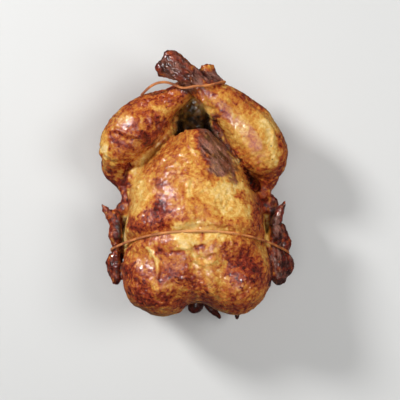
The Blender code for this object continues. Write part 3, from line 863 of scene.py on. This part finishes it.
def charred(places, spots, frayed, mask):
    """How burnt the skin is: in listed strokes on the breast, in streaks on the wings and the shanks."""
    burnt = painted(np.zeros(len(places)), spots, frayed, BURNT_SPOTS, SOFTER) * mask["top"]
    on_wings = crinkle(places, *WING_STREAKS) * np.where(places[:, 0] > 0, RIGHT_WING_CHAR, LEFT_WING_CHAR)
    burnt = np.maximum(burnt, on_wings * mask["wings"])
    on_shanks = SHANK_CHAR + SHANK_STREAK_CHAR * crinkle(places, *SHANK_STREAKS)
    burnt = np.maximum(burnt, on_shanks * mask["shank"])
    return painted(burnt, spots, CRISP * frayed, SPARED)


def shaded_hollows(places, spots, frayed, mask):
    """How much painted shade, nearly black and wet-looking, covers the skin in a hollow or a gap."""
    deep = painted(np.zeros(len(places)), spots, frayed, DEEP_SHADE_SPOTS)
    deep *= smoothstep(*DEEP_SHADE_HEIGHTS, places[:, 2])
    hollow_shade = np.maximum(mask["inside"], np.maximum(deep, NECK_SHADE * mask["neck"]))
    hollow_shade = painted(hollow_shade, spots, CRISPER * frayed, INNER_WALLS)
    return painted(hollow_shade, spots, CRISP * frayed, WET_SHREDS)


def paint(mesh):
    """Writes the looks of the skin as attributes of its vertices."""
    places, normals, _ = arrays_of(mesh)
    mask = masks_of(places, normals)
    spots = spots_of(places) + sum(drift(places, *shift) for shift in STROKE_DRIFTS)
    frayed = swirl(places, *STROKE_FRAY)
    blotches = np.stack([swirl(places, *blotch) for blotch in BLOTCHES], axis=1)

    tone = browned(spots, frayed, blotches, mask)
    burnt = charred(places, spots, frayed, mask)
    roughness = ROUGHNESS + blotches @ ROUGHNESS_BLOTCHES - BROWN_SMOOTHER * np.clip(tone, 0, 1)
    roughness -= LEGS_SMOOTHER * mask["legs"] + BURNT_SMOOTHER * burnt
    for name, values in (
        ("skin_tone", tone),
        ("skin_grease", painted(np.full(len(places), GROUND_GREASE), spots, frayed, GREASE)),
        ("skin_burnt", burnt),
        ("skin_lining", shaded_hollows(places, spots, frayed, mask)),
        ("skin_roughness", np.clip(roughness, *ROUGHNESS_LIMITS)),
    ):
        attribute = mesh.attributes.new(name, "FLOAT", "POINT")
        attribute.data.foreach_set("value", np.ascontiguousarray(values, np.float32))


class Nodes:
    """Short calls for building a material's nodes."""

    def __init__(self, name):
        self.material = bpy.data.materials.new(name)
        self.material.use_nodes = True
        self.tree = self.material.node_tree
        self.shader = self.tree.nodes["Principled BSDF"]

    def add(self, kind, **settings):
        """A node with its settings, of which those that it has no property for are inputs."""
        node = self.tree.nodes.new(kind)
        for key, value in settings.items():
            if hasattr(node, key):
                setattr(node, key, value)
            else:
                node.inputs[key.replace("_", " ")].default_value = value
        return node

    def feed(self, value, into):
        """Links a socket to an input, or gives the input a number or a colour."""
        if isinstance(value, bpy.types.NodeSocket):
            self.tree.links.new(value, into)
        else:
            into.default_value = value

    def shade(self, value, name):
        """The value as one of the shader's inputs."""
        self.feed(value, self.shader.inputs[name])

    def attribute(self, name):
        return self.add("ShaderNodeAttribute", attribute_name=name).outputs["Fac"]

    def ramp(self, value):
        """The skin's colours, read from the palest to the darkest."""
        node = self.add("ShaderNodeValToRGB")
        stops = node.color_ramp.elements
        while len(stops) < len(RAMP):
            stops.new(0.5)
        for stop, (tone, colour) in zip(stops, RAMP):
            stop.position = (tone - RAMP_FROM) / (RAMP_TO - RAMP_FROM)
            stop.color = (*colour, 1)
        self.feed(value, node.inputs["Fac"])
        return node.outputs["Color"]

    def place(self):
        return self.add("ShaderNodeTexCoord").outputs["Object"]

    def drawn_out(self, bearing, stretch):
        """Places for a texture that is drawn out along a bearing in the XY plane."""
        node = self.add("ShaderNodeMapping", vector_type="TEXTURE")
        node.inputs["Rotation"].default_value = (0, 0, math.radians(bearing))
        node.inputs["Scale"].default_value = (stretch, 1, 1)
        self.feed(self.place(), node.inputs["Vector"])
        return node.outputs["Vector"]

    def noise(self, scale, detail=3.0, rough=0.55, distortion=0.0, kind="FBM", over=None):
        settings = {"Scale": scale, "Detail": detail, "Roughness": rough, "Distortion": distortion}
        node = self.add("ShaderNodeTexNoise", noise_type=kind, **settings)
        self.feed(over or self.place(), node.inputs["Vector"])
        return node.outputs["Fac"]

    def remap(self, value, low, high, to_low, to_high):
        node = self.add("ShaderNodeMapRange", From_Min=low, From_Max=high, To_Min=to_low, To_Max=to_high)
        self.feed(value, node.inputs["Value"])
        return node.outputs["Result"]

    def mix(self, share, first, second):
        """Two colours, mixed by a share. The node's inputs for colours are known by their numbers."""
        node = self.add("ShaderNodeMix", data_type="RGBA", blend_type="MIX")
        for value, index in ((share, 0), (first, 6), (second, 7)):
            self.feed(value, node.inputs[index])
        return node.outputs[2]

    def maths(self, operation, first, second):
        node = self.add("ShaderNodeMath", operation=operation)
        self.feed(first, node.inputs[0])
        self.feed(second, node.inputs[1])
        return node.outputs[0]

    def bump(self, height, distance, strength, below=None):
        """A normal that a height moves, on top of the one below."""
        node = self.add("ShaderNodeBump", Strength=strength, Distance=distance)
        self.feed(height, node.inputs["Height"])
        if below is not None:
            self.feed(below, node.inputs["Normal"])
        return node.outputs["Normal"]


def skin_tone(made, fine, blotches):
    """The painted tone as a colour, with mottling and dark flecks."""
    tone = made.attribute("skin_tone")
    swing = made.remap(tone, *SKIN_SPREAD["mottle by tone"])
    mottle = made.maths("MULTIPLY", made.remap(fine, *SKIN_SPREAD["mottle"]), swing)
    tone = made.maths("ADD", tone, mottle)
    tone = made.maths("ADD", tone, made.remap(blotches, *SKIN_SPREAD["blotches"]))
    swing = made.remap(tone, *SKIN_SPREAD["flecks by tone"])
    flecks = made.maths("MULTIPLY", made.remap(fine, *SKIN_SPREAD["flecks"]), swing)
    tone = made.maths("ADD", tone, flecks)
    return made.ramp(made.remap(tone, *SKIN_SPREAD["ramp"]))


def char(made, colour, blotches):
    """Burnt flakes and paler patches over the colour, where the skin is painted burnt. The paler patches are
    partly the char's own greyer colour and partly painted sheen.
    """
    flakes = made.noise(*SKIN_NOISE["flakes"], over=made.drawn_out(CHAR_BEARING, CHAR_STRETCH))
    patches = made.noise(*SKIN_NOISE["patches"])
    burnt = made.mix(made.remap(patches, *SKIN_SPREAD["pale char and sheen"]), BURNT_BROWN, BURNT_PALE_AND_SHEEN)
    burnt = made.mix(made.remap(flakes, *SKIN_SPREAD["char"]), BURNT_DARK, burnt)
    uneven = made.remap(blotches, *SKIN_SPREAD["char's edge"])
    edge = made.maths("ADD", made.attribute("skin_burnt"), uneven)
    return made.mix(made.remap(edge, *SKIN_SPREAD["burnt"]), colour, burnt)


def pepper(made, colour):
    """Round dark specks, in a few of a texture's cells."""
    cells = made.add("ShaderNodeTexVoronoi", Scale=SPECK_SCALE)
    made.feed(made.place(), cells.inputs["Vector"])
    few = made.add("ShaderNodeSeparateColor")
    made.feed(cells.outputs["Color"], few.inputs["Color"])
    chosen = made.maths("GREATER_THAN", few.outputs[0], SPECK_FREE)
    near = made.remap(cells.outputs["Distance"], *SKIN_SPREAD["speck"])
    return made.mix(made.maths("MULTIPLY", chosen, near), colour, PEPPER)


def skin_material():
    """Browned, greasy skin: its tone is painted, and mottling, specks, painted shade in the hollows and a wet
    coat come on top.
    """
    made = Nodes("roast_skin")
    fine = made.noise(*SKIN_NOISE["fine"])
    blotches = made.noise(*SKIN_NOISE["blotches"])
    colour = char(made, skin_tone(made, fine, blotches), blotches)
    # Painted shade in the hollows and gaps, mixed over the skin's colour by its attribute
    hollow_shade = made.mix(made.remap(fine, *SKIN_SPREAD["hollow_shade"]), HOLLOW_SHADE_DARK, HOLLOW_SHADE_PALE)
    colour = made.mix(made.attribute("skin_lining"), colour, hollow_shade)
    made.shade(pepper(made, colour), "Base Color")

    shine = made.remap(made.noise(*SKIN_NOISE["shine"]), *SKIN_SPREAD["shine"])
    made.shade(made.maths("ADD", made.attribute("skin_roughness"), shine), "Roughness")

    low = made.bump(made.noise(*SKIN_NOISE["low relief"]), *SKIN_BUMP["low relief"])
    swing = made.remap(made.attribute("skin_burnt"), *SKIN_SPREAD["wrinkles by char"])
    wrinkles = made.noise(*SKIN_NOISE["wrinkles"], kind="RIDGED_MULTIFRACTAL")
    wrinkles = made.maths("MULTIPLY", wrinkles, swing)
    made.shade(made.bump(wrinkles, *SKIN_BUMP["wrinkles"], low), "Normal")

    grease = made.attribute("skin_grease")
    beads = made.noise(*SKIN_NOISE["beads"])
    wet = made.maths("MULTIPLY", made.remap(beads, *SKIN_SPREAD["beads"]), grease)
    made.shade(made.bump(beads, *SKIN_BUMP["beads"]), "Coat Normal")
    made.shade(made.remap(grease, *SKIN_SPREAD["mirror by grease"]), "Specular IOR Level")
    made.shade(wet, "Coat Weight")
    for name, value in SKIN_SHADER.items():
        made.shade(value, name)
    return made.material


def string_material():
    """Cotton string soaked with fat, browned in places and paler where it is high over the bird."""
    made = Nodes("trussing_string")
    stain = made.noise(*STRING_NOISE["stain"])
    fibre = made.noise(*STRING_NOISE["fibre"])
    colour = made.mix(made.remap(stain, *STRING_SPREAD["stain"]), STRING_GOLDEN, STRING_STAINED)
    place = made.add("ShaderNodeSeparateXYZ")
    made.feed(made.place(), place.inputs["Vector"])
    high = made.remap(place.outputs["Z"], *STRING_SPREAD["pale by height"])
    colour = made.mix(high, colour, STRING_PALE)
    colour = made.mix(made.remap(fibre, *STRING_SPREAD["fibre"]), colour, STRING_FIBRE)
    made.shade(colour, "Base Color")
    made.shade(made.remap(stain, *STRING_SPREAD["roughness"]), "Roughness")
    made.shade(made.bump(fibre, *STRING_BUMP), "Normal")
    return made.material


def closed_curve(points, steps):
    """A closed Catmull-Rom curve through the points, steps places to each span."""
    before, here = np.roll(points, 1, axis=0), points
    after, later = np.roll(points, -1, axis=0), np.roll(points, -2, axis=0)
    found = []
    for t in np.arange(steps) / steps:
        found.append(
            0.5
            * (
                2 * here
                + (after - before) * t
                + (2 * before - 5 * here + 4 * after - later) * t**2
                + (3 * here - before - 3 * after + later) * t**3
            )
        )
    return np.stack(found, axis=1).reshape(-1, 3)


def unit(vectors):
    return vectors / np.linalg.norm(vectors, axis=1)[:, None]


def add_strand(bm, centre, outward, across, radius):
    """A closed tube round a closed line of centres."""
    sides = []
    for side in range(STRAND_SIDES):
        angle = 2 * math.pi * side / STRAND_SIDES
        spoke = math.cos(angle) * outward + math.sin(angle) * across
        sides.append([bm.verts.new(p * MM) for p in centre + spoke * radius[:, None]])
    for this, other in zip(sides, sides[1:] + sides[:1]):
        for i in range(len(centre)):
            j = (i + 1) % len(centre)
            bm.faces.new((this[i], this[j], other[j], other[i]))


def twisted_string(name, line, node, finish):
    """Three strands twisted round each other along a closed line. The piece stands for the plain solid."""
    ahead = unit(np.roll(line, -1, axis=0) - np.roll(line, 1, axis=0))
    outward = line - line.mean(axis=0)
    outward = unit(outward - (outward * ahead).sum(axis=1)[:, None] * ahead)
    across = np.cross(ahead, outward)
    run = np.append(0, np.cumsum(np.linalg.norm(np.diff(line, axis=0), axis=1)))
    length = run[-1] + np.linalg.norm(line[0] - line[-1])
    turns = round(length / STRAND_PITCH)
    radius = STRAND_RADIUS * (1 + swirl(line, *STRAND_SWELLS))
    bm = bmesh.new()
    for strand in range(STRANDS):
        turn = 2 * math.pi * (turns * run / length + strand / STRANDS)
        orbit = np.cos(turn)[:, None] * outward + np.sin(turn)[:, None] * across
        add_strand(bm, line + STRAND_ORBIT * orbit, outward, across, radius)
    bmesh.ops.recalc_face_normals(bm, faces=bm.faces)
    mesh = bpy.data.meshes.new(name)
    bm.to_mesh(mesh)
    bm.free()
    mesh.shade_smooth()
    mesh.materials.append(finish)
    made = bpy.data.objects.new(name, mesh)
    bpy.context.scene.collection.objects.link(made)
    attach(made, "root")
    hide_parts(node)


def camera():
    """The camera straight above, as far away and with the view that the picture's scale asks for."""
    data = bpy.data.cameras.new("camera")
    data.sensor_width = SENSOR
    data.lens = SENSOR * (CAMERA_PLACE[2] - MIDDLE_Z) / (PICTURE * PIXEL)
    placed = bpy.data.objects.new("camera", data)
    placed.location = CAMERA_PLACE
    bpy.context.scene.collection.objects.link(placed)
    bpy.context.scene.camera = placed


def area_light(name, place, size, watts, glossy, diffuse):
    """A round light that points at the bird."""
    data = bpy.data.lights.new(name, "AREA")
    data.shape = "DISK"
    data.size = size
    data.energy = watts
    placed = bpy.data.objects.new(name, data)
    placed.visible_glossy = glossy
    placed.visible_diffuse = diffuse
    placed.location = place
    placed.rotation_euler = (Vector(LIT_PLACE) - Vector(place)).to_track_quat("-Z", "Y").to_euler()
    bpy.context.scene.collection.objects.link(placed)


def studio():
    """A pale floor, a key light from the upper left, two soft fills and three small lights for the glints."""
    bm = bmesh.new()
    bmesh.ops.create_grid(bm, x_segments=1, y_segments=1, size=FLOOR_HALF)
    mesh = bpy.data.meshes.new("floor")
    bm.to_mesh(mesh)
    bm.free()
    floor = bpy.data.objects.new("floor", mesh)
    floor.location.z = FLOOR_Z
    bpy.context.scene.collection.objects.link(floor)
    plain = Nodes("floor")
    plain.shade(FLOOR_TONE, "Base Color")
    plain.shade(FLOOR_ROUGHNESS, "Roughness")
    floor.visible_glossy = False
    mesh.materials.append(plain.material)

    for light in LIGHTS:
        area_light(*light)
    world = bpy.data.worlds.new("studio")
    world.use_nodes = True
    world.node_tree.nodes["Background"].inputs["Color"].default_value = SKY_TONE
    world.node_tree.nodes["Background"].inputs["Strength"].default_value = SKY_STRENGTH
    bpy.context.scene.world = world
    bpy.context.scene.view_settings.view_transform = "Standard"


def main():
    camera()
    studio()
    twine = string_material()
    lines = []
    for name, node, count, spread, steps in STRINGS:
        line = closed_curve(centreline(node, count, spread), steps)
        twisted_string(name, line, node, twine)
        lines.append(line)

    skin = skin_mesh()
    add_relief(skin.data, lines)
    paint(skin.data)
    skin.data.materials.clear()
    skin.data.materials.append(skin_material())
    skin.data.shade_smooth()
    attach(skin, "root")
    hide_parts("roast_chicken")


main()

bpy.context.view_layer.update()
